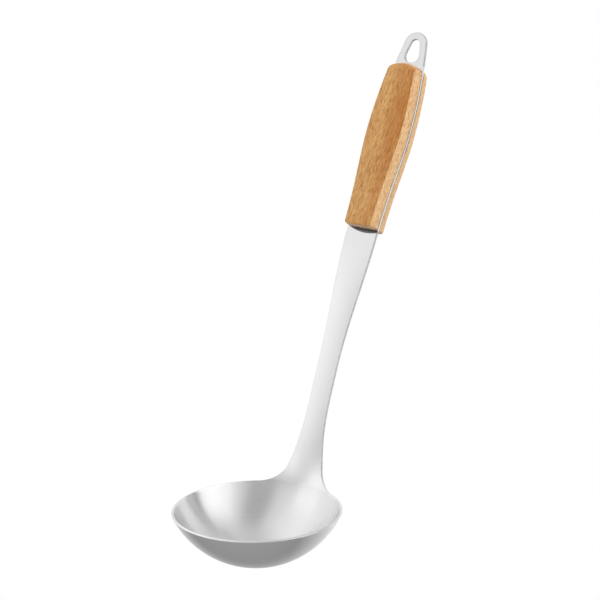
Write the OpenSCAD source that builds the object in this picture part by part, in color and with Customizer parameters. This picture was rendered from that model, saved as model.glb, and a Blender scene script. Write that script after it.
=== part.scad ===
// Soup ladle: a bowl, shank and tang pressed from one steel blank, and a grip of two wooden scales.
// The ladle hangs by the slot in its end. +Z is up along the flat tang, -Y is the front, which is
// the open side of the bowl, and X = 0 is the plane of symmetry. The origin is the centre of the
// slot's upper arc, half way through the steel. Sizes are in millimetres.

/* [Bowl] */
// Outer radius of the rim
bowl_r = 48; // [40:0.5:56]
// Depth outside, from the rim plane to the bottom
bowl_depth = 30.6; // [24:0.2:36]
// Wall of the bowl
bowl_t = 1.4; // [1:0.1:2]
// Angle between the rim plane and a plane square to the tang
bowl_tilt = 33.2; // [26:0.2:38]

/* [Shank] */
// Distance from the slot's centre down to the back of the rim
reach = 259.5; // [245:0.5:290]
// How far the back of the rim lies behind the tang
set_back = 12; // [6:0.2:16]
// Thickness of the blank at the tang
blank_t = 1.7; // [1.3:0.1:2.4]
// Width at the waist, the narrowest place
waist_w = 12.4; // [9:0.2:15]
// Height of the waist above the back of the rim
waist_up = 68; // [58:0.5:75]
// Widening by the long flare above the bowl, both sides together
flare_w = 16; // [10:0.5:20]
// Height of the long flare
flare_l = 52; // [40:1:57]
// Widening by the fillets at the rim, both sides together
root_w = 17.8; // [10:0.2:20]
// Height of the fillets at the rim
root_l = 8.5; // [7:0.5:13]
// Height over which the curved neck turns into the flat shank
trough_l = 40; // [25:1:55]
// Radius of the slight arch across the front of the shank
arch_r = 60; // [45:1:120]
// Share of the thickness that is taken off each edge of the sheet
edge_ease = 0.25; // [0.1:0.05:0.4]

/* [Tang and eye] */
// Outer radius of the eye
eye_r = 7.1; // [6.2:0.1:8]
// Radius of the slot's upper arc, which rests on a hook
slot_r = 2.9; // [2.2:0.1:3.2]
// Radius of the slot's lower arc
slot_low_r = 4.4; // [3.5:0.1:4.8]
// Distance between the centres of the slot's arcs
slot_l = 6.7; // [6:0.1:7.2]
// Greatest width of the tang, flush with the grip
belly_w = 25.1; // [21:0.1:28]
// Distance from the slot's centre down to the greatest width
belly_down = 56; // [50:1:62]
// Width of the blank at the lower end of the grip
grip_end_w = 19.8; // [17:0.1:21]

/* [Grip] */
// Distance from the slot's centre down to the top of the grip
grip_top = 12.4; // [12:0.1:16]
// Distance from the slot's centre down to the lower end of the grip
grip_end = 110.8; // [104:0.2:118]
// Thickness of each wooden scale
scale_t = 7.4; // [6:0.1:9]
// How far each side of a scale leans in from the tang to the main face
scale_lean = 1.4; // [0.6:0.1:2.2]
// Length of the easing between the sides and the main face
scale_edge = 0.9; // [0.4:0.1:1.6]
// Thickness of a scale at its very top
lip_t = 2.2; // [1.4:0.1:3.2]
// Height of the rounded fall from the main face to that top
fall_l = 5; // [3:0.2:7]
// Radius of the arc that closes the top of the grip
crown_r = 17; // [15:0.5:30]
// Radius of the scale's corners, seen from the front
corner_r = 1.7; // [0.8:0.1:2.4]
// Thickness of each adhesive film
glue_t = 0.2; // [0.1:0.05:0.4]

/* [Locating pins] */
// Diameter of a pin
pin_d = 4; // [3:0.1:5]
// Length of a pin
pin_l = 10; // [7:0.5:11]
// Radial clearance of a pin in the tang and in the scales
pin_gap = 0.05; // [0.02:0.01:0.15]
// Clearance at each end of a pin
pin_end_gap = 0.3; // [0.2:0.1:0.6]
// Distance from the slot's centre down to the first pin
pin_first = 28; // [25:0.5:34]
// Distance from one pin to the next
pin_pitch = 34; // [28:0.5:35]
// Number of pins
pin_count = 3; // [2:1:3]

/* [Hidden] */

steel = "#c9cbcc";
wood = "#c8955c";
adhesive = "#4a3a2c";
pin_steel = "#9a9c9e";

// Facets of the pins and their holes
fine_fn = 96;

// Cells of the sheet: across the neck, round the bowl, from its bottom to the rim, up a fillet
neck_cells = 12;
round_cells = 84;
ring_cells = 15;
root_cells = 6;
// Greatest height of a row of cells in the shank
row_h = 4.4;
// Depth inside the grip at which the flat tang takes over from the formed shank
seam_in = 10;
// Height over which the neck eases out of the slope of the bowl's wall
neck_ease = 12;
// The arch starts at this height above the rim, grows over the next, and fades this far below the grip
arch_from = 22;
arch_over = 36;
arch_fade = 50;
// Exponents of the long flare, of the trough's fading and of the grip's lower taper
flare_power = 2.5;
trough_power = 2;
taper_power = 0.8;

// Heights, counted down from the slot's centre
rim_z = -reach;
waist_z = rim_z + waist_up;
end_z = -grip_end;
seam_z = end_z + seam_in;
belly_z = -belly_down;
top_z = -grip_top;

// Half-width of the blank

// The shoulder is one arc, tangent to the eye and upright at the belly
belly_half = belly_w / 2;
end_half = grip_end_w / 2;
waist_half = waist_w / 2;
shoulder_r = (pow(belly_half, 2) + pow(belly_down, 2) - pow(eye_r, 2)) / (2 * (belly_half - eye_r));
// Height at which the shoulder touches the eye
touch_z = eye_r * belly_down / (shoulder_r - eye_r);

function mix(a, b, k) = (1 - k) * a + k * b;
function ease(k) = (1 - cos(180 * min(1, max(0, k)))) / 2;
function arc_drop(r, x) = r - sqrt(max(0, r * r - x * x));

function shoulder_half(z) = belly_half - arc_drop(shoulder_r, z - belly_z);
function taper_half(z) = mix(belly_half, end_half, ease(pow((belly_z - z) / (belly_z - end_z), taper_power)));
function shank_half(z) = mix(end_half, waist_half, ease((end_z - z) / (end_z - waist_z)));
function flare_half(up) = up < flare_l ? flare_w / 2 * pow(1 - up / flare_l, flare_power) : 0;
function root_half(up) = up < root_l ? root_w / 2 * arc_drop(1, 1 - up / root_l) : 0;
function neck_half(z) = waist_half + flare_half(z - rim_z) + root_half(z - rim_z);
function half_w(z) =
    z > belly_z ? shoulder_half(z) :
    z > end_z ? taper_half(z) :
    z > waist_z ? shank_half(z) : neck_half(z);

// Formed sheet: bowl, neck and shank

// Middle surface of the bowl: a cap of a sphere. rim_back points from the axis to the neck.
mid_r = bowl_r - bowl_t / 2;
mid_depth = bowl_depth - bowl_t / 2;
cap_r = (pow(mid_r, 2) + pow(mid_depth, 2)) / (2 * mid_depth);
cap_angle = asin(mid_r / cap_r);
bowl_axis = [0, -sin(bowl_tilt), cos(bowl_tilt)];
rim_back = [0, cos(bowl_tilt), sin(bowl_tilt)];
side = [1, 0, 0];
back_point = [0, set_back, rim_z];
rim_centre = back_point - mid_r * rim_back;
cap_centre = rim_centre + (cap_r - mid_depth) * bowl_axis;

// Angle round the bowl of each line of cells, 0 at the back. The first ones run on up the neck.
neck_root_half = neck_half(rim_z);
neck_angle = asin(neck_root_half / mid_r);
function round_angle(k) =
    k <= neck_cells ? asin((2 * k / neck_cells - 1) * neck_root_half / mid_r) :
    mix(neck_angle, 360 - neck_angle, (k - neck_cells) / (round_cells - neck_cells));

// A place on the sheet is [point, unit normal to the front, thickness, direction out over the edge]
function outward(angle) = cos(angle) * rim_back + sin(angle) * side;
function bowl_place(ring, k) =
    let (tilt = cap_angle * ring / ring_cells)
    let (ray = sin(tilt) * outward(round_angle(k)) - cos(tilt) * bowl_axis)
    let (along = cos(tilt) * outward(round_angle(k)) + sin(tilt) * bowl_axis)
    [cap_centre + cap_r * ray, -ray, bowl_t, along];

// Path of the shank: tangent to the bowl's wall at the rim and to the flat tang below the grip
wall_slope = -(cos(cap_angle) * rim_back[1] + sin(cap_angle) * bowl_axis[1])
    / (cos(cap_angle) * rim_back[2] + sin(cap_angle) * bowl_axis[2]);
bend_h = end_z - rim_z;
function path_y(z) =
    let (up = z - rim_z)
    up >= bend_h ? 0 :
    set_back * pow(1 - up / bend_h, 2) + (2 * set_back / bend_h - wall_slope) * up * exp(-up / neck_ease);
function trough(z) = z - rim_z < trough_l ? pow(1 - (z - rim_z) / trough_l, trough_power) : 0;

function arch(z) = ease((z - rim_z - arch_from) / arch_over) * ease((end_z - z) / arch_fade);

function shank_point(z, q) =
    let (x = q * half_w(z))
    let (hollow = trough(z) * arc_drop(mid_r, x) - arch(z) * arc_drop(arch_r, x))
    [0, path_y(z), z] + x * side - hollow * rim_back;
// The normal is taken from two short chords across and along the sheet
chord = 0.02;
function unit(v) = v / norm(v);
function shank_normal(z, q) =
    let (x = q * half_w(z))
    let (steep = trough(z) * x / sqrt(mid_r * mid_r - x * x) - arch(z) * x / sqrt(arch_r * arch_r - x * x))
    let (across = side - steep * rim_back)
    let (along = [0, (path_y(z + chord) - path_y(z)) / chord, 1])
    unit(cross(along, across)) * -1;
function shank_t(z) = mix(bowl_t, blank_t, ease((z - rim_z) / trough_l));
function edge_out(z, s) =
    let (slope = (half_w(z + chord) - half_w(z)) / chord)
    unit([s, 0, -s * s * slope]);

// Heights of the rows, from the rim to the seam inside the grip
plain_rows = ceil((seam_z - rim_z - root_l) / row_h);
row_zs = [
    for (i = [1 : root_cells]) rim_z + root_l * (1 - cos(90 * i / root_cells)),
    for (i = [1 : plain_rows]) mix(rim_z + root_l, seam_z, i / plain_rows)
];
rows = len(row_zs);
function shank_place(row, c) =
    let (z = row_zs[row - 1])
    let (q = 2 * c / neck_cells - 1)
    [shank_point(z, q), shank_normal(z, q), shank_t(z), edge_out(z, q < 0 ? -1 : 1)];

// Numbers of the points on one face of the sheet
bowl_points = 1 + ring_cells * round_cells;
face_points = bowl_points + rows * (neck_cells + 1);
function bowl_no(ring, k) = ring == 0 ? 0 : 1 + (ring - 1) * round_cells + k % round_cells;
function shank_no(row, c) = row == 0 ? bowl_no(ring_cells, c) : bowl_points + (row - 1) * (neck_cells + 1) + c;

places = [
    bowl_place(0, 0),
    for (ring = [1 : ring_cells]) for (k = [0 : round_cells - 1]) bowl_place(ring, k),
    for (row = [1 : rows]) for (c = [0 : neck_cells]) shank_place(row, c)
];

// The free edge runs down the right of the shank, round the rim and up the left of the shank
edge_nos = [
    for (i = [0 : rows - 1]) shank_no(rows - i, neck_cells),
    for (k = [neck_cells : round_cells]) bowl_no(ring_cells, k),
    for (row = [1 : rows]) shank_no(row, 0)
];
edge_points = len(edge_nos);
// The edge is square where it meets the tang and eased from the end of the grip downwards
function easing(p) = edge_ease * ease((seam_z - p[0][2]) / (seam_in - 2));
is_edge = [for (i = [0 : face_points - 1]) len(search(i, edge_nos)) > 0];

function face_point(i, s) =
    let (p = places[i])
    p[0] + s * p[2] / 2 * p[1] - (is_edge[i] ? easing(p) * p[2] * p[3] : [0, 0, 0]);
function edge_point(i, s) =
    let (p = places[i])
    p[0] + s * (0.5 - easing(p)) * p[2] * p[1];

sheet_points = [
    for (i = [0 : face_points - 1]) face_point(i, 1),
    for (i = [0 : face_points - 1]) face_point(i, -1),
    for (i = edge_nos) edge_point(i, 1),
    for (i = edge_nos) edge_point(i, -1)
];
function edge_no(i, s) = 2 * face_points + (s > 0 ? 0 : edge_points) + i;

// Two triangles for each cell, given its four corners in order
function cell(a, b, c, d) = [[a, b, c], [a, c, d]];
function flipped(list) = [for (t = list) [t[2], t[1], t[0]]];
function lifted(list, by) = [for (t = list) [for (i = t) i + by]];

front_cells = [
    for (k = [0 : round_cells - 1]) [0, bowl_no(1, k), bowl_no(1, k + 1)],
    for (ring = [1 : ring_cells - 1]) for (k = [0 : round_cells - 1])
        each cell(bowl_no(ring, k), bowl_no(ring + 1, k), bowl_no(ring + 1, k + 1), bowl_no(ring, k + 1)),
    for (row = [0 : rows - 1]) for (c = [0 : neck_cells - 1])
        each cell(shank_no(row, c), shank_no(row + 1, c), shank_no(row + 1, c + 1), shank_no(row, c + 1))
];
edge_cells = [
    for (i = [0 : edge_points - 2]) each concat(
        cell(edge_nos[i], edge_no(i, 1), edge_no(i + 1, 1), edge_nos[i + 1]),
        cell(edge_no(i, 1), edge_no(i, -1), edge_no(i + 1, -1), edge_no(i + 1, 1)),
        cell(edge_no(i, -1), face_points + edge_nos[i], face_points + edge_nos[i + 1], edge_no(i + 1, -1))
    )
];
top_cells = [
    for (c = [0 : neck_cells - 1]) each cell(
        shank_no(rows, c + 1), shank_no(rows, c),
        face_points + shank_no(rows, c), face_points + shank_no(rows, c + 1)
    )
];

module formed_sheet() {
    polyhedron(
        points = sheet_points,
        faces = concat(front_cells, flipped(lifted(front_cells, face_points)), edge_cells, top_cells),
        convexity = 6
    );
}

// Flat tang and eye

// Anything drawn in X and Z stands up, centred on the plane of the tang
module upright(t) {
    rotate([90, 0, 0]) linear_extrude(t, center = true) children();
}

// Steps of the outline: round the eye, down the shoulder and down the taper
shoulder_steps = 24;
taper_steps = 18;
tang_zs = [
    for (i = [1 : shoulder_steps - 1]) mix(touch_z, belly_z, i / shoulder_steps),
    for (i = [0 : taper_steps]) mix(belly_z, seam_z, i / taper_steps)
];
eye_steps = 48;
touch_angle = asin(touch_z / eye_r);
module tang_outline() {
    polygon([
        for (i = [0 : eye_steps])
            let (a = mix(180 - touch_angle, touch_angle, i / eye_steps))
            eye_r * [cos(a), sin(a)],
        for (z = tang_zs) [half_w(z), z],
        for (i = [len(tang_zs) - 1 : -1 : 0]) [-half_w(tang_zs[i]), tang_zs[i]]
    ]);
}

// The slot is two arcs and their common tangents
slot_lean = asin((slot_low_r - slot_r) / slot_l);
slot_steps = 32;
module slot_outline() {
    polygon([
        for (i = [0 : slot_steps])
            let (a = mix(slot_lean, 180 - slot_lean, i / slot_steps))
            slot_r * [cos(a), sin(a)],
        for (i = [0 : slot_steps])
            let (a = mix(180 - slot_lean, 360 + slot_lean, i / slot_steps))
            slot_low_r * [cos(a), sin(a)] - [0, slot_l]
    ]);
}

// Centres of the pins, and a cylinder across the tang at each
pin_zs = [for (i = [0 : pin_count - 1]) -pin_first - i * pin_pitch];
module at_pins(d, l) {
    for (z = pin_zs) translate([0, 0, z]) rotate([90, 0, 0]) cylinder(d = d, h = l, center = true, $fn = fine_fn);
}
pin_hole_d = pin_d + 2 * pin_gap;
cut_over = 4;

module steel_blank() {
    color(steel) union() {
        difference() {
            upright(blank_t) tang_outline();
            upright(blank_t + cut_over) slot_outline();
            at_pins(pin_hole_d, blank_t + cut_over);
        }
        formed_sheet();
    }
}

// Wooden scales

// Heights of the rows of a scale: down the rounded fall, along the grip and round the lower corner
fall_cells = 7;
corner_cells = 5;
scale_row_h = 3.6;
body_top = top_z - fall_l;
body_end = end_z + corner_r;
body_rows = ceil((body_top - body_end) / scale_row_h);
scale_zs = [
    for (i = [0 : fall_cells - 1]) top_z - fall_l * (1 - cos(90 * i / fall_cells)),
    for (i = [0 : body_rows - 1]) mix(body_top, body_end, i / body_rows),
    for (i = [0 : corner_cells]) body_end - corner_r * sin(90 * i / corner_cells)
];
// The crown's arc fades out over this height below the top
crown_fade = 14;
function crown(z, x) = max(0, 1 - (top_z - z) / crown_fade) * arc_drop(crown_r, x);
function corner_cut(d) = d < corner_r ? arc_drop(corner_r, corner_r - d) : 0;
// Flush with the tang, and rounded at the corners
function scale_half(z) =
    let (flush = half_w(z - crown(z, half_w(z))))
    flush - corner_cut(top_z - z) - corner_cut(z - end_z);
// The main face falls to the lip at the top and is eased at the lower end
end_ease = 0.5;
function scale_depth(z) =
    let (fall = min(1, (top_z - z) / fall_l))
    let (end = min(1, (z - end_z) / corner_r))
    mix(lip_t, scale_t, sqrt(1 - pow(1 - fall, 2))) - end_ease * (1 - sqrt(1 - pow(1 - end, 2)));

// Half of a section, from the middle of the main face to the tang: [distance from the middle, depth]
edge_cells_round = 4;
face_cells = 3;
function half_section(z) =
    let (w = scale_half(z), t = scale_depth(z))
    let (lean = scale_lean * t / scale_t, e = min(scale_edge, t / 2))
    let (k = [w - lean, t], a = k - [e, 0], b = k + unit([w, 0] - k) * e)
    [
        for (i = [0 : face_cells - 1]) [a[0] * i / face_cells, t],
        for (i = [0 : edge_cells_round])
            let (u = i / edge_cells_round)
            pow(1 - u, 2) * a + 2 * u * (1 - u) * k + u * u * b,
        [w, 0]
    ];
function mirrored(list) = [for (i = [len(list) - 1 : -1 : 1]) [-list[i][0], list[i][1]]];
function whole_section(z) = concat(mirrored(half_section(z)), half_section(z));

mate_y = blank_t / 2 + glue_t;
scale_rows = len(scale_zs);
scale_columns = len(whole_section(body_top));
scale_sections = [for (z = scale_zs) whole_section(z)];
// Points over the main face and the sides, then those of the crown's arc against the film
function scale_point(i, j, depth) =
    let (x = scale_sections[i][j][0])
    [x, -mate_y - depth, scale_zs[i] - crown(scale_zs[i], x)];
last_row = scale_rows - 1;
last_column = scale_columns - 1;
scale_points = [
    for (i = [0 : last_row]) for (j = [0 : last_column]) scale_point(i, j, scale_sections[i][j][1]),
    for (j = [1 : last_column - 1]) scale_point(0, j, 0)
];
function scale_no(i, j) = i * scale_columns + j;
// A point of the crown's arc against the film
function crown_no(j) = j == 0 || j == last_column ? j : scale_rows * scale_columns + j - 1;

scale_faces = [
    for (i = [0 : last_row - 1]) for (j = [0 : last_column - 1])
        each cell(scale_no(i, j), scale_no(i, j + 1), scale_no(i + 1, j + 1), scale_no(i + 1, j)),
    // The lip at the top
    for (j = [0 : last_column - 1]) each cell(scale_no(0, j + 1), scale_no(0, j), crown_no(j), crown_no(j + 1)),
    // The lower end
    [for (j = [0 : last_column]) scale_no(last_row, j)],
    // The flat against the film: under the crown's arc, then down the rows
    for (j = [0 : floor(last_column / 2) - 1])
        each cell(crown_no(j + 1), crown_no(j), crown_no(last_column - j), crown_no(last_column - j - 1)),
    for (i = [0 : last_row - 1])
        each cell(scale_no(i, 0), scale_no(i + 1, 0), scale_no(i + 1, last_column), scale_no(i, last_column))
];

// The outline against the film, once round
film_nos = [
    for (j = [0 : last_column]) crown_no(j),
    for (i = [1 : last_row]) scale_no(i, last_column),
    for (i = [0 : last_row - 1]) scale_no(last_row - i, 0)
];

pin_room = pin_l + 2 * pin_end_gap;
module wooden_scale() {
    difference() {
        polyhedron(points = scale_points, faces = scale_faces, convexity = 4);
        at_pins(pin_hole_d, pin_room);
    }
}

module front_scale() {
    color(wood) wooden_scale();
}

module rear_scale() {
    color(wood) mirror([0, 1, 0]) wooden_scale();
}

// Adhesive films fill the gap between tang and scale
module glue_film() {
    difference() {
        translate([0, -blank_t / 2 - glue_t / 2, 0]) upright(glue_t)
            polygon([for (n = film_nos) [scale_points[n][0], scale_points[n][2]]]);
        at_pins(pin_hole_d, pin_room);
    }
}

module front_glue_film() {
    color(adhesive) glue_film();
}

module rear_glue_film() {
    color(adhesive) mirror([0, 1, 0]) glue_film();
}

// Plain pins across the tang, blind in both scales
module locating_pins() {
    color(pin_steel) at_pins(pin_d, pin_l);
}

steel_blank();
front_scale();
rear_scale();
front_glue_film();
rear_glue_film();
locating_pins();
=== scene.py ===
import math

import bmesh
import bpy
from mathutils import Matrix, Vector


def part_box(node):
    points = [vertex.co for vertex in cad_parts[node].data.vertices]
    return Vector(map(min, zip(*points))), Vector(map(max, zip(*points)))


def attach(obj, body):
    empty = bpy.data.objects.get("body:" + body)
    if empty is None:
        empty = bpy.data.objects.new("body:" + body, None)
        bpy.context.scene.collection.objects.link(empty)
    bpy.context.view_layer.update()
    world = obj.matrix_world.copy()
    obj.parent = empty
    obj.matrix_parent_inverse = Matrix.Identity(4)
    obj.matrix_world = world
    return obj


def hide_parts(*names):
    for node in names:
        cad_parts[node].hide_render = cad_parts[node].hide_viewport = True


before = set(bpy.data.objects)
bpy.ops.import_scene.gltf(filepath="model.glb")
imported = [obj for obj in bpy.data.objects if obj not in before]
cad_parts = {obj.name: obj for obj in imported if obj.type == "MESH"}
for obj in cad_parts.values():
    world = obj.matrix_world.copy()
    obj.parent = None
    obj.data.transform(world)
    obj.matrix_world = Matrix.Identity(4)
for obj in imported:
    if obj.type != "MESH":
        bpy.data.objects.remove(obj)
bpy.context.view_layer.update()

# A soup ladle hung by the slot in its end. Everything is in metres, with +Z up along the flat tang,
# -Y to the front, which is the open side of the bowl, and the origin in the slot's upper arc.
MM = 0.001

# Bowl: a cap of a sphere, drawn here at the middle of the sheet
BOWL_WALL = 1.4 * MM
RIM_R = 48 * MM - BOWL_WALL / 2
BOWL_DEPTH = 30.6 * MM - BOWL_WALL / 2
TILT = math.radians(33.2)
CAP_R = (RIM_R**2 + BOWL_DEPTH**2) / (2 * BOWL_DEPTH)
CAP_ANGLE = math.asin(RIM_R / CAP_R)

# Shank: its path, its waist and the flare and fillets that spread it into the rim
REACH = 259.5 * MM
SET_BACK = 12 * MM
WAIST_UP = 68 * MM
WAIST_HALF = 6.2 * MM
FLARE_HALF = 8 * MM
FLARE_L = 52 * MM
FLARE_POWER = 2.5
ROOT_HALF = 8.9 * MM
ROOT_L = 8.5 * MM
THICKEN_L = 40 * MM
NECK_EASE = 12 * MM
ARCH_R = 60 * MM
ARCH_FADE = 50 * MM
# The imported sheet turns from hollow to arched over 58 mm above the rim; the photo shows it sooner
TROUGH_L = 20 * MM
ARCH_OVER = 16 * MM

# Tang and eye
TANG_T = 1.7 * MM
EYE_R = 7.1 * MM
SLOT_R = 2.9 * MM
SLOT_LOW_R = 4.4 * MM
SLOT_L = 6.7 * MM
BELLY_HALF = 12.55 * MM
BELLY_DOWN = 56 * MM
GRIP_END_HALF = 9.9 * MM
TAPER_POWER = 0.8

# The grip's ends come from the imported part
scale_low, scale_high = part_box("front_scale")
GRIP_TOP = scale_high.z
GRIP_END = scale_low.z

RIM_Z = -REACH
WAIST_Z = RIM_Z + WAIST_UP
BELLY_Z = -BELLY_DOWN

BOWL_AXIS = Vector((0, -math.sin(TILT), math.cos(TILT)))
RIM_BACK = Vector((0, math.cos(TILT), math.sin(TILT)))
RIM_CENTRE = Vector((0, SET_BACK, RIM_Z)) - RIM_R * RIM_BACK
CAP_CENTRE = RIM_CENTRE + (CAP_R - BOWL_DEPTH) * BOWL_AXIS

SHOULDER_R = (BELLY_HALF**2 + BELLY_DOWN**2 - EYE_R**2) / (2 * (BELLY_HALF - EYE_R))
TOUCH_Z = EYE_R * BELLY_DOWN / (SHOULDER_R - EYE_R)


# Shape of the blank

def mix(a, b, k):
    return (1 - k) * a + k * b


def ease(k):
    return (1 - math.cos(math.pi * min(1, max(0, k)))) / 2


def arc_drop(radius, x):
    return radius - math.sqrt(max(0, radius**2 - x**2))


def half_width(z):
    """Half the width of the blank at a height, from the eye's shoulder down to the rim."""
    if z > BELLY_Z:
        return BELLY_HALF - arc_drop(SHOULDER_R, z - BELLY_Z)
    if z > GRIP_END:
        return mix(BELLY_HALF, GRIP_END_HALF, ease(((BELLY_Z - z) / (BELLY_Z - GRIP_END)) ** TAPER_POWER))
    if z > WAIST_Z:
        return mix(GRIP_END_HALF, WAIST_HALF, ease((GRIP_END - z) / (GRIP_END - WAIST_Z)))
    up = z - RIM_Z
    flare = FLARE_HALF * (1 - up / FLARE_L) ** FLARE_POWER if up < FLARE_L else 0
    root = ROOT_HALF * arc_drop(1, 1 - up / ROOT_L) if up < ROOT_L else 0
    return WAIST_HALF + flare + root


def path_y(z):
    """How far the middle of the shank lies behind the tang: tangent to the bowl's wall and to the tang."""
    rise = GRIP_END - RIM_Z
    up = z - RIM_Z
    if up >= rise:
        return 0
    wall = math.cos(CAP_ANGLE) * RIM_BACK + math.sin(CAP_ANGLE) * BOWL_AXIS
    ramp = (2 * SET_BACK / rise + wall.y / wall.z) * up * math.exp(-up / NECK_EASE)
    return SET_BACK * (1 - up / rise) ** 2 + ramp


def hollow(z):
    """Share of the rim's curve that is left across the neck; below 0 where the shank arches forward."""
    up = z - RIM_Z
    trough = (1 - up / TROUGH_L) ** 2 if up < TROUGH_L else 0
    arch = ease(up / ARCH_OVER) * ease((GRIP_END - z) / ARCH_FADE) * RIM_R / ARCH_R
    share = trough - arch
    return share if abs(share) > FLAT else FLAT


# Modelling helpers

def new_piece(name, shape, **how):
    """Adds a primitive on its own and puts its place into its mesh."""
    if bpy.context.object and bpy.context.object.mode != "OBJECT":
        bpy.ops.object.mode_set(mode="OBJECT")
    bpy.ops.object.select_all(action="DESELECT")
    getattr(bpy.ops.mesh, f"primitive_{shape}_add")(**how)
    piece = bpy.context.object
    piece.name = piece.data.name = name
    bpy.ops.object.transform_apply(location=True, rotation=True, scale=True)
    return piece


def edit(piece):
    bpy.ops.object.select_all(action="DESELECT")
    piece.select_set(True)
    bpy.context.view_layer.objects.active = piece
    bpy.ops.object.mode_set(mode="EDIT")


def leave_edit():
    bpy.ops.object.mode_set(mode="OBJECT")


def choose(piece, wanted):
    """Selects the vertices whose place passes the test, with the edges and faces between them."""
    bpy.ops.mesh.select_mode(type="VERT")
    bpy.ops.mesh.select_all(action="DESELECT")
    mesh = bmesh.from_edit_mesh(piece.data)
    for v in mesh.verts:
        v.select = wanted(v.co)
    mesh.select_flush(True)
    bmesh.update_edit_mesh(piece.data)


def choose_loops(piece, wanted):
    """Selects the open edges whose two ends pass the test."""
    bpy.ops.mesh.select_all(action="DESELECT")
    bpy.ops.mesh.select_mode(type="EDGE")
    mesh = bmesh.from_edit_mesh(piece.data)
    for e in mesh.edges:
        e.select = len(e.link_faces) < 2 and all(wanted(v.co) for v in e.verts)
    bmesh.update_edit_mesh(piece.data)


def move(x=0, y=0, z=0):
    bpy.ops.transform.translate(value=(x, y, z))


def stretch(x, y, z, centre):
    bpy.ops.transform.resize(value=(x, y, z), center_override=centre)


def add_modifier(piece, kind, **values):
    """Adds a modifier and applies it."""
    bpy.context.view_layer.objects.active = piece
    modifier = piece.modifiers.new(kind.lower(), kind)
    for key, value in values.items():
        setattr(modifier, key, value)
    bpy.ops.object.modifier_apply(modifier=modifier.name)


def ease_edges(piece, width, steps, corner):
    """Rounds every edge that is sharper than the corner angle."""
    add_modifier(piece, "BEVEL", width=width, segments=steps, limit_method="ANGLE", angle_limit=corner)


# Steel blank

ROUND_SIDES = 100
NECK_SIDES = 16
CAP_RINGS = 44
ROOT_ROWS = 6
SHANK_ROW = 5 * MM
GRIP_ROW = 9 * MM
EYE_SIDES = 48
EYE_RINGS = 2
EYE_INSIDE_GRIP = 1.2 * MM
SHOULDER_ROWS = 6
BRIDGE_FORWARD = 1 * MM
NEAR = 0.01 * MM
# A row is never quite flat, so that the next one can be stretched from it
FLAT = 0.0005

# Edges sharper than the corner angle are eased; past the worn angle an eased edge counts as fully rubbed
SHEET_EASE = 0.38 * MM
SHEET_CORNER = math.radians(50)
SHEET_WORN = math.radians(20)

# The brush marks turn to lengthwise over this span, from a height against the rim, and only near the neck
TURN_FROM = -9 * MM
TURN_OVER = 18 * MM
TURN_HALF = 26 * MM
TURN_FADE = 12 * MM


def row_heights():
    """Heights of the rows from the rim up to just under the eye: close in the fillets, then wider."""
    root_top = RIM_Z + ROOT_L
    heights = [RIM_Z + ROOT_L * (1 - math.cos(math.pi / 2 * i / ROOT_ROWS)) for i in range(1, ROOT_ROWS + 1)]
    for low, high, step in ((root_top, GRIP_END, SHANK_ROW), (GRIP_END, eye_foot(), GRIP_ROW)):
        rows = math.ceil((high - low) / step)
        heights += [mix(low, high, i / rows) for i in range(1, rows + 1)]
    return heights


def eye_foot():
    """Height of the row that the eye stands on, just inside the grip."""
    return GRIP_TOP - EYE_INSIDE_GRIP


def draw_bowl():
    """A sphere, turned to the bowl's axis and cut off at the rim."""
    piece = new_piece(
        "steel_ladle_blank", "uv_sphere", segments=ROUND_SIDES, ring_count=CAP_RINGS,
        radius=CAP_R, location=CAP_CENTRE, rotation=(TILT, 0, 0),
    )
    edit(piece)
    bpy.ops.mesh.select_all(action="SELECT")
    bpy.ops.mesh.bisect(plane_co=RIM_CENTRE, plane_no=BOWL_AXIS, clear_outer=True)
    return piece


def draw_shank(piece):
    """The back of the rim is extruded up the neck and the shank, row by row, through the grip."""
    rim_half = RIM_R * math.sin(math.pi * NECK_SIDES / ROUND_SIDES)
    choose(piece, lambda co: (
        abs((co - RIM_CENTRE).dot(BOWL_AXIS)) < NEAR
        and abs(co.x) < rim_half + NEAR
        and (co - RIM_CENTRE).dot(RIM_BACK) > 0
    ))
    z_now, half_now, hollow_now = RIM_Z, rim_half, 1
    for z in row_heights():
        bpy.ops.mesh.extrude_region()
        move(y=path_y(z) - path_y(z_now), z=z - z_now)
        wider = half_width(z) / half_now
        bend = wider**2 * hollow(z) / hollow_now
        stretch(wider, bend, bend, (0, path_y(z), z))
        z_now, half_now, hollow_now = z, half_width(z), hollow(z)


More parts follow.
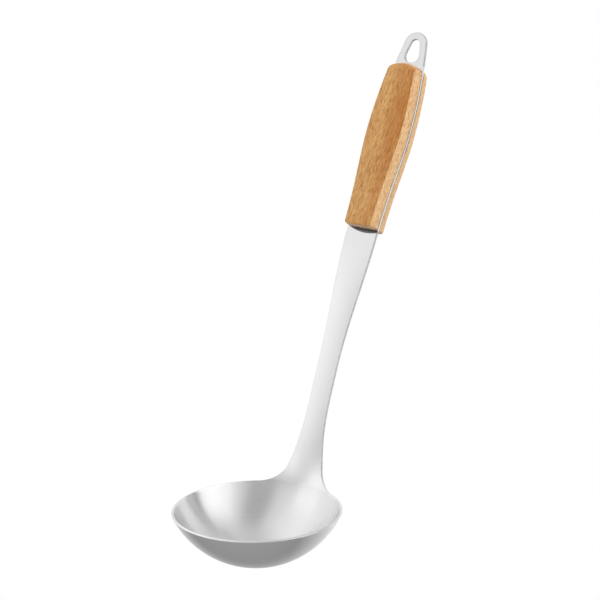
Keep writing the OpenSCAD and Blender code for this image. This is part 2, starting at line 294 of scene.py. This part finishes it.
def draw_eye(piece):
    """The outline runs up one shoulder, spins round the eye and comes down; the slot is bridged to it."""
    foot = eye_foot()
    heights = [mix(foot, TOUCH_Z, i / SHOULDER_ROWS) for i in range(SHOULDER_ROWS + 1)]
    choose(piece, lambda co: co.z > foot - NEAR and co.x > half_width(foot) - NEAR)
    for low, high in zip(heights, heights[1:]):
        bpy.ops.mesh.extrude_region()
        move(x=half_width(high) - half_width(low), z=high - low)
    touch = math.asin(TOUCH_Z / EYE_R)
    steps = EYE_SIDES - NECK_SIDES - 2 * SHOULDER_ROWS
    bpy.ops.mesh.spin(steps=steps, angle=math.pi - 2 * touch, center=(0, 0, 0), axis=(0, 1, 0))
    for high, low in zip(heights[::-1], heights[-2::-1]):
        bpy.ops.mesh.extrude_region()
        move(x=half_width(high) - half_width(low), z=low - high)
    bpy.ops.mesh.select_all(action="DESELECT")
    bpy.ops.mesh.primitive_circle_add(vertices=EYE_SIDES, radius=SLOT_R, rotation=(math.pi / 2, 0, 0))
    lean = (SLOT_LOW_R - SLOT_R) / SLOT_L * SLOT_R
    choose(piece, lambda co: co.z < lean and abs(co.length - SLOT_R) < NEAR)
    move(z=-SLOT_L)
    larger = SLOT_LOW_R / SLOT_R
    stretch(larger, 1, larger, (0, 0, -SLOT_L))
    bpy.ops.mesh.select_all(action="SELECT")
    bpy.ops.mesh.remove_doubles(threshold=NEAR)
    # The slot stands forward while it is bridged, or the bridge can't tell which way round it runs
    choose(piece, lambda co: co.z > foot + NEAR and abs(co.x) < SLOT_LOW_R + NEAR and co.z < SLOT_R + NEAR)
    move(y=-BRIDGE_FORWARD)
    choose_loops(piece, lambda co: co.z > foot - NEAR)
    bpy.ops.mesh.bridge_edge_loops(number_cuts=EYE_RINGS, interpolation="LINEAR")
    choose(piece, lambda co: co.z > foot - NEAR)
    stretch(1, 0, 1, (0, 0, 0))


def thicken(piece):
    """The sheet is a little thicker at the tang than in the bowl, and its edges are eased."""
    bpy.ops.mesh.select_mode(type="VERT")
    bpy.ops.mesh.select_all(action="SELECT")
    bpy.ops.mesh.remove_doubles(threshold=NEAR)
    bpy.ops.mesh.normals_make_consistent(inside=False)
    leave_edit()
    shares = [ease((v.co.z - RIM_Z) / THICKEN_L) for v in piece.data.vertices]
    group = piece.vertex_groups.new(name="thickness")
    for number, share in enumerate(shares):
        group.add([number], mix(BOWL_WALL, TANG_T, share) / TANG_T, "REPLACE")
    # From here on the group goes by its name, because an applied modifier replaces the list that holds it
    add_modifier(piece, "SUBSURF", levels=1, render_levels=1)
    add_modifier(
        piece, "SOLIDIFY", thickness=TANG_T, offset=0, vertex_group="thickness", use_even_offset=True,
    )
    ease_edges(piece, SHEET_EASE, 3, SHEET_CORNER)
    bpy.ops.object.shade_smooth_by_angle(angle=SHEET_CORNER)


def mark_brushing(piece):
    """Writes the way the brush marks run, round the bowl and up the shank, and how far they have turned."""
    ways, shares = [], []
    for v in piece.data.vertices:
        above = ease((v.co.z - RIM_Z - TURN_FROM) / TURN_OVER)
        share = above * ease((TURN_HALF - abs(v.co.x)) / TURN_FADE)
        ring = BOWL_AXIS.cross(v.co - RIM_CENTRE)
        ring = ring.normalized() if ring.length > NEAR else Vector((1, 0, 0))
        turn = share * math.pi / 2
        ways.extend(math.cos(turn) * ring + math.sin(turn) * Vector((0, 0, 1)))
        shares.append(share)
    piece.data.attributes.new("brush_marks", "FLOAT_VECTOR", "POINT").data.foreach_set("vector", ways)
    piece.data.attributes.new("lengthwise", "FLOAT", "POINT").data.foreach_set("value", shares)


def steel_ladle_blank():
    piece = draw_bowl()
    draw_shank(piece)
    draw_eye(piece)
    thicken(piece)
    mark_brushing(piece)
    mark_edges(piece, SHEET_WORN)
    return piece


# Wooden scales

SAME_POINT = 0.001 * MM
SAME_PLANE = math.radians(0.2)
WOOD_EASE = 0.22 * MM
WOOD_CORNER = math.radians(32)
WOOD_SMOOTH = math.radians(35)
WOOD_WORN = math.radians(30)


def wooden_scale(node, name):
    """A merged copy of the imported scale, with its long edges eased as by fine sanding."""
    piece = bpy.data.objects.new(name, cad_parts[node].data.copy())
    bpy.context.scene.collection.objects.link(piece)
    piece.data.name = name
    piece.data.materials.clear()
    edit(piece)
    bpy.ops.mesh.select_all(action="SELECT")
    bpy.ops.mesh.remove_doubles(threshold=SAME_POINT)
    bpy.ops.mesh.dissolve_limited(angle_limit=SAME_PLANE)
    leave_edit()
    ease_edges(piece, WOOD_EASE, 2, WOOD_CORNER)
    bpy.ops.object.shade_smooth_by_angle(angle=WOOD_SMOOTH)
    mark_edges(piece, WOOD_WORN)
    return piece


# Edges

def mark_edges(piece, sharp):
    """Writes how worn each vertex is: 1 where faces meet at the given angle or more, 0 on open faces."""
    mesh = bmesh.new()
    mesh.from_mesh(piece.data)
    worn = [max((e.calc_face_angle(0) for e in v.link_edges), default=0) for v in mesh.verts]
    mesh.free()
    marks = piece.data.attributes.new("edge", "FLOAT", "POINT")
    marks.data.foreach_set("value", [min(1, angle / sharp) ** 2 for angle in worn])


# Shader helpers

def new_material(name, metallic, roughness):
    material = bpy.data.materials.new(name)
    material.use_nodes = True
    shader = material.node_tree.nodes["Principled BSDF"]
    shader.inputs["Metallic"].default_value = metallic
    shader.inputs["Roughness"].default_value = roughness
    return material, material.node_tree, shader


def add(tree, kind, inputs, **settings):
    """Adds a shader node. Each input is a value, or the socket that feeds it."""
    node = tree.nodes.new("ShaderNode" + kind)
    for key, value in settings.items():
        setattr(node, key, value)
    for key, value in inputs.items():
        if isinstance(value, bpy.types.NodeSocket):
            tree.links.new(value, node.inputs[key])
        else:
            node.inputs[key].default_value = value
    return node


def calc(tree, operation, a, b=0):
    return add(tree, "Math", {0: a, 1: b}, operation=operation).outputs[0]


def vector(tree, operation, a, b=(0, 0, 0)):
    node = add(tree, "VectorMath", {0: a, 1: b}, operation=operation)
    return node.outputs["Value" if operation in ("DOT_PRODUCT", "LENGTH") else "Vector"]


def between(tree, value, low, high, at_low=0, at_high=1):
    """Runs smoothly from one value to another as the input goes from low to high."""
    ends = {"Value": value, "From Min": low, "From Max": high, "To Min": at_low, "To Max": at_high}
    return add(tree, "MapRange", ends, interpolation_type="SMOOTHSTEP").outputs["Result"]


def blend(tree, factor, a, b):
    ends = {0: factor, 6: a, 7: b}
    return add(tree, "Mix", ends, data_type="RGBA").outputs[2]


def noise(tree, place, scale, detail=2, roughness=0.5):
    inputs = {"Vector": place, "Scale": scale, "Detail": detail, "Roughness": roughness}
    return add(tree, "TexNoise", inputs).outputs[0]


def new_group(name, inputs, outputs):
    """Starts a node group with named inputs and outputs, and gives its tree and its two end nodes."""
    tree = bpy.data.node_groups.new(name, "ShaderNodeTree")
    for kind, sockets in (("INPUT", inputs), ("OUTPUT", outputs)):
        for socket, socket_type in sockets:
            tree.interface.new_socket(socket, in_out=kind, socket_type="NodeSocket" + socket_type)
    return tree, tree.nodes.new("NodeGroupInput").outputs, tree.nodes.new("NodeGroupOutput").inputs


def place_group(tree, group, inputs):
    return add(tree, "Group", inputs, node_tree=group).outputs


def streaks_group():
    """Long marks in one direction, as brushing and wood fibre have."""
    sockets = (("Place", "Vector"), ("Stretch", "Vector"), ("Spread", "Float"))
    tree, given, out = new_group("streaks", sockets, (("Mask", "Float"),))
    stretched = vector(tree, "MULTIPLY", given["Place"], given["Stretch"])
    fine = noise(tree, stretched, 1, 4, 0.65)
    half = calc(tree, "MULTIPLY", given["Spread"], 0.5)
    low = calc(tree, "SUBTRACT", 0.5, half)
    high = calc(tree, "ADD", 0.5, half)
    tree.links.new(between(tree, fine, low, high), out["Mask"])
    return tree


def edge_wear_group():
    """Where an edge has been rubbed, broken up so that it isn't even."""
    tree, given, out = new_group("edge_wear", (("Grain", "Float"), ("Amount", "Float")), (("Mask", "Float"),))
    place = add(tree, "TexCoord", {}).outputs["Object"]
    edge = add(tree, "Attribute", {}, attribute_name="edge").outputs["Fac"]
    broken = between(tree, noise(tree, place, given["Grain"]), 0.3, 0.7, 0.45, 1)
    worn = calc(tree, "MULTIPLY", edge, broken)
    tree.links.new(calc(tree, "MULTIPLY", worn, given["Amount"]), out["Mask"])
    return tree


# Materials

STREAKS = streaks_group()
EDGE_WEAR = edge_wear_group()

# How many times a pattern repeats in a metre, across the marks and along them
BRUSH_ACROSS = 2600
BRUSH_ALONG = 45
RINGS_ACROSS = 2200
RINGS_ROUND = 2.4

# Painted reflection of the front scale's lower end, a dark crescent on the steel just below it: its middle,
# half its length and its depth
PAINTED_REFLECTION_RIGHT = 2.5 * MM
PAINTED_REFLECTION_HALF = 11 * MM
PAINTED_REFLECTION_DEEP = 2.4 * MM
PAINTED_REFLECTION_COLOUR = (0.16, 0.175, 0.19, 1)


def bowl_rings(tree, place):
    """Brush marks that run round the bowl: fine along the curve from its bottom to the rim."""
    out = vector(tree, "NORMALIZE", vector(tree, "SUBTRACT", place, CAP_CENTRE))
    down = calc(tree, "ARCCOSINE", vector(tree, "DOT_PRODUCT", out, -BOWL_AXIS))
    flat = vector(tree, "NORMALIZE", vector(tree, "CROSS_PRODUCT", out, BOWL_AXIS))
    along = calc(tree, "MULTIPLY", down, CAP_R * RINGS_ACROSS / RINGS_ROUND)
    steps = add(tree, "CombineXYZ", {"X": along, "Y": along, "Z": along}).outputs["Vector"]
    return vector(tree, "ADD", flat, steps)


def grey(level):
    return (level, level, level, 1)


STEEL_DARK = grey(0.755)
STEEL_LIGHT = grey(0.835)
STEEL_CUT = grey(0.4)
STEEL_RUBBED = grey(0.96)


def brushed_steel():
    """Satin stainless steel, brushed round the bowl and lengthwise up the shank, with a polished rim."""
    material, tree, shader = new_material("brushed_steel", 1, 0.3)
    place = add(tree, "TexCoord", {}).outputs["Object"]
    split = add(tree, "SeparateXYZ", {"Vector": place}).outputs
    on_shank = add(tree, "Attribute", {}, attribute_name="lengthwise").outputs["Fac"]
    across = {"Place": place, "Stretch": (BRUSH_ACROSS, BRUSH_ACROSS, BRUSH_ALONG), "Spread": 0.5}
    lengthwise = place_group(tree, STREAKS, across)["Mask"]
    rings = {"Place": bowl_rings(tree, place), "Stretch": (RINGS_ROUND,) * 3, "Spread": 0.7}
    around = place_group(tree, STREAKS, rings)["Mask"]
    marks = add(tree, "Mix", {0: on_shank, 2: around, 3: lengthwise}).outputs[0]
    cloud = noise(tree, place, 60, 3)
    edge = place_group(tree, EDGE_WEAR, {"Grain": 400, "Amount": 1})["Mask"]
    below_grip = between(tree, split["Z"], GRIP_END - 0.3 * MM, GRIP_END, 1, 0)
    above_grip = between(tree, split["Z"], GRIP_TOP, GRIP_TOP + 0.3 * MM)
    bare = calc(tree, "MULTIPLY", on_shank, calc(tree, "ADD", below_grip, above_grip))
    cut = calc(tree, "MULTIPLY", edge, bare)
    rubbed = calc(tree, "MULTIPLY", edge, calc(tree, "SUBTRACT", 1, bare))

    tone = calc(tree, "ADD", calc(tree, "MULTIPLY", marks, 0.6), calc(tree, "MULTIPLY", cloud, 0.4))
    colour = blend(tree, tone, STEEL_DARK, STEEL_LIGHT)
    colour = blend(tree, cut, colour, STEEL_CUT)
    colour = blend(tree, calc(tree, "MULTIPLY", rubbed, 0.9), colour, STEEL_RUBBED)
    # The steel is painted dark just below the front scale, as a painted reflection of the scale's lower end
    colour = blend(tree, painted_scale_reflection(tree, split), colour, PAINTED_REFLECTION_COLOUR)
    tree.links.new(colour, shader.inputs["Base Color"])
    satin = calc(tree, "ADD", calc(tree, "MULTIPLY", marks, 0.05), calc(tree, "MULTIPLY", cloud, 0.05))
    rough = calc(tree, "SUBTRACT", calc(tree, "ADD", satin, 0.205), calc(tree, "MULTIPLY", rubbed, 0.08))
    tree.links.new(rough, shader.inputs["Roughness"])
    bump = add(tree, "Bump", {"Strength": 0.12, "Distance": 0.02 * MM, "Height": marks})
    tree.links.new(bump.outputs["Normal"], shader.inputs["Normal"])
    shader.inputs["Anisotropic"].default_value = 0.8
    # A quarter turn, because a brushed surface spreads light across its marks
    shader.inputs["Anisotropic Rotation"].default_value = 0.25
    brushing = add(tree, "Attribute", {}, attribute_name="brush_marks")
    tree.links.new(brushing.outputs["Vector"], shader.inputs["Tangent"])
    return material


def painted_scale_reflection(tree, split):
    """Painted reflection: a dark crescent on the steel just below where the front scale ends, standing in for
    the scale's end mirrored there.
    """
    x = calc(tree, "DIVIDE", calc(tree, "SUBTRACT", split["X"], PAINTED_REFLECTION_RIGHT), PAINTED_REFLECTION_HALF)
    depth = calc(tree, "MULTIPLY", calc(tree, "SUBTRACT", 1, calc(tree, "MULTIPLY", x, x)), PAINTED_REFLECTION_DEEP)
    under = calc(tree, "SUBTRACT", calc(tree, "ADD", split["Z"], depth), GRIP_END)
    reflection_mask = between(tree, under, -0.15 * MM, 0.2 * MM)
    front = between(tree, split["Y"], 0, -0.3 * MM)
    below = between(tree, split["Z"], GRIP_END, GRIP_END + 0.2 * MM, 1, 0)
    return calc(tree, "MULTIPLY", calc(tree, "MULTIPLY", reflection_mask, front), below)


WOOD_DARK_RING = (0.55, 0.235, 0.056, 1)
WOOD_LIGHT_RING = (0.80, 0.465, 0.175, 1)
WOOD_BAND = (0.48, 0.15, 0.012, 1)
# Painted light: the side facets are given a lighter, paler colour than the face
WOOD_PAINTED_LIGHT_SIDE = (0.86, 0.60, 0.34, 1)
WOOD_FIBRE = (0.95, 0.59, 0.24, 1)
WOOD_PORE = (0.36, 0.115, 0.02, 1)
WOOD_END = (0.86, 0.60, 0.42, 1)
WOOD_RUBBED = (0.38, 0.16, 0.06, 1)


def oiled_wood():
    """Oiled hardwood: fine fibres, short dark pores, an orange band down one side of the face, and painted
    light that makes the side facets lighter and paler.
    """
    material, tree, shader = new_material("oiled_wood", 0, 0.5)
    shader.inputs["Specular IOR Level"].default_value = 0.25
    coordinates = add(tree, "TexCoord", {}).outputs
    place = coordinates["Object"]
    wander = noise(tree, vector(tree, "MULTIPLY", place, (40, 40, 14)), 1, 2)
    shift = calc(tree, "MULTIPLY", calc(tree, "SUBTRACT", wander, 0.5), 5 * MM)
    slip = add(tree, "CombineXYZ", {"X": shift, "Y": 0, "Z": 0}).outputs["Vector"]
    bent = vector(tree, "ADD", place, slip)
    split = add(tree, "SeparateXYZ", {"Vector": bent}).outputs
    facing = add(tree, "SeparateXYZ", {"Vector": vector(tree, "ABSOLUTE", coordinates["Normal"])}).outputs

    def figure(across, along, spread):
        inputs = {"Place": bent, "Stretch": (across, across, along), "Spread": spread}
        return place_group(tree, STREAKS, inputs)["Mask"]

    fibre = figure(3600, 130, 0.34)
    pores = figure(3000, 300, 0.36)
    rings = figure(230, 16, 0.5)
    patch = noise(tree, vector(tree, "MULTIPLY", place, (110, 110, 38)), 1, 3)

    # Mask of the side facets, which get painted light
    side = between(tree, facing["X"], 0.66, 0.8)
    band = between(tree, split["X"], -3 * MM, 6 * MM)
    lower = between(tree, split["Z"], GRIP_END, GRIP_END + 60 * MM, 0.45, 1)
    band = calc(tree, "MULTIPLY", calc(tree, "MULTIPLY", band, lower), between(tree, patch, 0.3, 0.6, 0.5, 1))
    band = calc(tree, "MULTIPLY", band, calc(tree, "SUBTRACT", 1, side))

    colour = blend(tree, rings, WOOD_DARK_RING, WOOD_LIGHT_RING)
    colour = blend(tree, band, colour, WOOD_BAND)
    # Painted light: the side facets are made lighter and paler
    colour = blend(tree, calc(tree, "MULTIPLY", side, 0.9), colour, WOOD_PAINTED_LIGHT_SIDE)
    colour = blend(tree, calc(tree, "MULTIPLY", fibre, 0.55), colour, WOOD_FIBRE)
    colour = blend(tree, calc(tree, "MULTIPLY", band, 0.35), colour, WOOD_BAND)
    dark = calc(tree, "MULTIPLY", between(tree, pores, 0.4, 0.9), 0.7)
    colour = blend(tree, dark, colour, WOOD_PORE)
    end_grain = between(tree, facing["Z"], 0.6, 0.95)
    colour = blend(tree, calc(tree, "MULTIPLY", end_grain, 0.85), colour, WOOD_END)
    worn = place_group(tree, EDGE_WEAR, {"Grain": 700, "Amount": 0.35})["Mask"]
    colour = blend(tree, worn, colour, WOOD_RUBBED)
    tree.links.new(colour, shader.inputs["Base Color"])

    rough = calc(tree, "ADD", calc(tree, "MULTIPLY", pores, 0.14), 0.42)
    tree.links.new(rough, shader.inputs["Roughness"])
    relief = calc(tree, "SUBTRACT", calc(tree, "MULTIPLY", fibre, 0.3), dark)
    bump = add(tree, "Bump", {"Strength": 0.35, "Distance": 0.05 * MM, "Height": relief})
    tree.links.new(bump.outputs["Normal"], shader.inputs["Normal"])
    return material


GLUE_DARK = (0.035, 0.024, 0.018, 1)
GLUE_LIGHT = (0.085, 0.058, 0.04, 1)
GLUE_RUBBED = (0.12, 0.09, 0.06, 1)


def set_adhesive():
    """Dark brown glue line, a little uneven."""
    material, tree, shader = new_material("set_adhesive", 0, 0.55)
    place = add(tree, "TexCoord", {}).outputs["Object"]
    grain = noise(tree, place, 900, 3)
    worn = place_group(tree, EDGE_WEAR, {"Grain": 500, "Amount": 0.5})["Mask"]
    colour = blend(tree, grain, GLUE_DARK, GLUE_LIGHT)
    tree.links.new(blend(tree, worn, colour, GLUE_RUBBED), shader.inputs["Base Color"])
    tree.links.new(between(tree, grain, 0.3, 0.7, 0.45, 0.65), shader.inputs["Roughness"])
    bump = add(tree, "Bump", {"Strength": 0.3, "Distance": 0.03 * MM, "Height": grain})
    tree.links.new(bump.outputs["Normal"], shader.inputs["Normal"])
    return material


def dress(piece, material):
    piece.data.materials.clear()
    piece.data.materials.append(material)


# Studio

FLOOR_Z = -1.0
FLOOR_SIZE = 30

# Camera: where it looks from, its roll, and the aim of its axis past the origin
AZIMUTH = math.radians(30.96)
ELEVATION = math.radians(-9.21)
ROLL = math.radians(15.98)
DISTANCE = 3.4345
AIM_RIGHT = -66.06 * MM
AIM_UP = -145.61 * MM
FOCAL_MM = 361.5


def make_camera():
    data = bpy.data.cameras.new("camera")
    data.lens = FOCAL_MM
    data.sensor_width = 36
    camera = bpy.data.objects.new("camera", data)
    bpy.context.scene.collection.objects.link(camera)
    back = Vector((
        math.sin(AZIMUTH) * math.cos(ELEVATION),
        -math.cos(AZIMUTH) * math.cos(ELEVATION),
        math.sin(ELEVATION),
    ))
    level = Vector((math.cos(AZIMUTH), math.sin(AZIMUTH), 0))
    above = back.cross(level)
    right = level * math.cos(ROLL) + above * math.sin(ROLL)
    up = above * math.cos(ROLL) - level * math.sin(ROLL)
    turn = Matrix((right, up, back)).transposed().to_4x4()
    place = back * DISTANCE + right * AIM_RIGHT + up * AIM_UP
    camera.matrix_world = Matrix.Translation(place) @ turn
    bpy.context.scene.camera = camera


def background_rays(tree):
    """Two masks: rays of the camera, and the rays that metal or glass sends on to the background."""
    path = add(tree, "LightPath", {}).outputs
    return path["Is Camera Ray"], calc(tree, "MAXIMUM", path["Is Glossy Ray"], path["Is Transmission Ray"])


def shade_ramp(tree, factor, stops, full=1):
    """A smooth ramp of greys through the given places, for a factor from 0 to 1; full is its brightest."""
    ramp = add(tree, "ValToRGB", {"Fac": factor})
    ramp.color_ramp.interpolation = "EASE"
    points = ramp.color_ramp.elements
    for number, (at, level) in enumerate(stops[:1] + stops[-1:] + stops[1:-1]):
        point = points[number] if number < 2 else points.new(at)
        point.position = at
        point.color = grey(level / full)
    return calc(tree, "MULTIPLY", ramp.outputs["Color"], full)


# How bright the room is at each azimuth, in degrees from the front toward +X, as steel mirrors it
ROOM = (
    (-180, 0.86), (-112, 0.84), (-88, 1.0), (-62, 1.06), (-32, 0.98), (-8, 0.82), (9, 0.48), (27, 0.48),
    (46, 0.85), (60, 1.2), (84, 1.34), (102, 1.25), (112, 0.36), (126, 0.36), (140, 0.95), (180, 0.86),
)
BRIGHTEST = 1.5
# The ceiling, and the sines of the angles above the horizon where it begins and where it is all there is
CEILING = 0.7
CEILING_FROM = 0.72
CEILING_FULL = 0.98
# Sine of the angle below the horizon, and how bright the floor is there, as steel mirrors it
FLOOR_SHADE = ((0, 0.86), (0.13, 0.7), (0.28, 0.58), (0.44, 0.44), (0.54, 0.33), (0.82, 0.38), (1, 0.4))
# What the world sends to surfaces that don't mirror it
AMBIENT = 0.52
# Height from which the steel sees the floor, the floor's own grey, and what it adds for the camera
SEEN_FROM = -0.3
FLOOR_GREY = grey(0.7)
FLOOR_LIFT = 0.38


def make_world():
    """White behind the ladle; steel mirrors bright walls, a dark gap in front and a dimmer ceiling."""
    world = bpy.data.worlds.new("studio")
    bpy.context.scene.world = world
    world.use_nodes = True
    tree = world.node_tree
    camera_ray, mirror_ray = background_rays(tree)
    look = add(tree, "SeparateXYZ", {"Vector": add(tree, "TexCoord", {}).outputs["Generated"]}).outputs
    azimuth = calc(tree, "ARCTAN2", look["X"], calc(tree, "MULTIPLY", look["Y"], -1))
    turn = calc(tree, "ADD", calc(tree, "DIVIDE", azimuth, 2 * math.pi), 0.5)
    walls = shade_ramp(tree, turn, tuple((at / 360 + 0.5, level) for at, level in ROOM), BRIGHTEST)
    overhead = between(tree, look["Z"], CEILING_FROM, CEILING_FULL)
    room = add(tree, "Mix", {0: overhead, 2: walls, 3: CEILING}).outputs[0]
    plain = add(tree, "Mix", {0: mirror_ray, 2: AMBIENT, 3: room}).outputs[0]
    level = add(tree, "Mix", {0: camera_ray, 2: plain, 3: 1.0}).outputs[0]
    tree.links.new(level, tree.nodes["Background"].inputs["Color"])


def way_to(azimuth, elevation):
    a, e = math.radians(azimuth), math.radians(elevation)
    return Vector((math.sin(a) * math.cos(e), -math.cos(a) * math.cos(e), math.sin(e)))


# How far the card fades in from its sides, as a share of its width, and from its foot and its top
CARD_SIDES = 0.27
CARD_FOOT = 0.2
CARD_TOP = 0.4


def make_reflector(name, azimuth, distance, width, low, high, level):
    """An upright white card with faded edges that only the steel mirrors."""
    place = way_to(azimuth, 0) * distance + Vector((0, 0, (low + high) / 2))
    turn = (math.pi / 2, 0, math.radians(azimuth))
    card = new_piece(name, "plane", size=1, location=place, rotation=turn, scale=(width, high - low, 1))
    material = new_material(name, 0, 1)[0]
    tree = material.node_tree
    card.data.materials.append(material)
    coordinates = add(tree, "TexCoord", {}).outputs
    height = add(tree, "SeparateXYZ", {"Vector": coordinates["Object"]}).outputs["Z"]
    across = add(tree, "SeparateXYZ", {"Vector": coordinates["UV"]}).outputs["X"]
    from_side = calc(tree, "SUBTRACT", 0.5, calc(tree, "ABSOLUTE", calc(tree, "SUBTRACT", across, 0.5)))
    sides = between(tree, from_side, 0, CARD_SIDES)
    foot = between(tree, height, low, low + CARD_FOOT)
    top = between(tree, height, high - CARD_TOP, high, 1, 0)
    strong = calc(tree, "MULTIPLY", calc(tree, "MULTIPLY", sides, foot), top)
    glow = add(tree, "Emission", {"Color": grey(level)})
    clear = add(tree, "BsdfTransparent", {})
    faded = add(tree, "MixShader", {0: strong, 1: clear.outputs["BSDF"], 2: glow.outputs["Emission"]})
    tree.links.new(faded.outputs["Shader"], tree.nodes["Material Output"].inputs["Surface"])
    card.visible_camera = card.visible_diffuse = card.visible_shadow = False


# The lamps aim half way down the ladle
LAMP_AIM = Vector((0, 0, -0.15))


def soft_box(name, azimuth, elevation, distance, width, height, level):
    """A rectangular lamp that faces the middle of the ladle; level is its brightness, where 1 is white."""
    way = way_to(azimuth, elevation)
    data = bpy.data.lights.new(name, "AREA")
    data.shape = "RECTANGLE"
    data.size, data.size_y = width, height
    data.energy = level * math.pi * width * height
    lamp = bpy.data.objects.new(name, data)
    bpy.context.scene.collection.objects.link(lamp)
    lamp.location = LAMP_AIM + way * distance
    lamp.rotation_mode = "QUATERNION"
    lamp.rotation_quaternion = (-way).to_track_quat("-Z", "Y")
    lamp.visible_glossy = False


def make_floor():
    """A pale floor that keeps the ladle's shadow; steel mirrors it shaded below and pale far off."""
    floor = new_piece("floor", "plane", size=FLOOR_SIZE, location=(0, 0, FLOOR_Z))
    material, tree, shader = new_material("pale_floor", 0, 0.9)
    shader.inputs["Base Color"].default_value = FLOOR_GREY
    camera_ray, mirror_ray = background_rays(tree)
    shader.inputs["Emission Color"].default_value = (1, 1, 1, 1)
    tree.links.new(calc(tree, "MULTIPLY", camera_ray, FLOOR_LIFT), shader.inputs["Emission Strength"])
    place = add(tree, "TexCoord", {}).outputs["Object"]
    far = vector(tree, "LENGTH", vector(tree, "SUBTRACT", place, (0, 0, SEEN_FROM)))
    steep = calc(tree, "DIVIDE", SEEN_FROM - FLOOR_Z, far)
    glow = add(tree, "Emission", {"Color": shade_ramp(tree, steep, FLOOR_SHADE)})
    lit = add(tree, "MixShader", {0: mirror_ray, 1: shader.outputs["BSDF"], 2: glow.outputs["Emission"]})
    below = add(tree, "NewGeometry", {}).outputs["Backfacing"]
    clear = add(tree, "BsdfTransparent", {})
    sides = add(tree, "MixShader", {0: below, 1: lit.outputs["Shader"], 2: clear.outputs["BSDF"]})
    tree.links.new(sides.outputs["Shader"], tree.nodes["Material Output"].inputs["Surface"])
    floor.data.materials.append(material)


# Assembly

steel = brushed_steel()
wood = oiled_wood()
adhesive = set_adhesive()

blank = steel_ladle_blank()
dress(blank, steel)
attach(blank, "root")
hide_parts("steel_blank")

for node, name in (("front_scale", "front_wooden_scale"), ("rear_scale", "rear_wooden_scale")):
    scale = wooden_scale(node, name)
    dress(scale, wood)
    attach(scale, "root")
    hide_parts(node)

for node in ("front_glue_film", "rear_glue_film"):
    dress(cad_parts[node], adhesive)
dress(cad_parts["locating_pins"], steel)

make_camera()
make_world()
make_floor()
make_reflector("left_card", azimuth=-46, distance=1.2, width=2.2, low=-0.52, high=0.36, level=1.22)
soft_box("left_box", azimuth=-40, elevation=22, distance=1.7, width=1.5, height=1.4, level=1.75)
soft_box("right_box", azimuth=80, elevation=24, distance=1.7, width=1.2, height=1.4, level=3.4)
bpy.context.scene.view_settings.view_transform = "Standard"
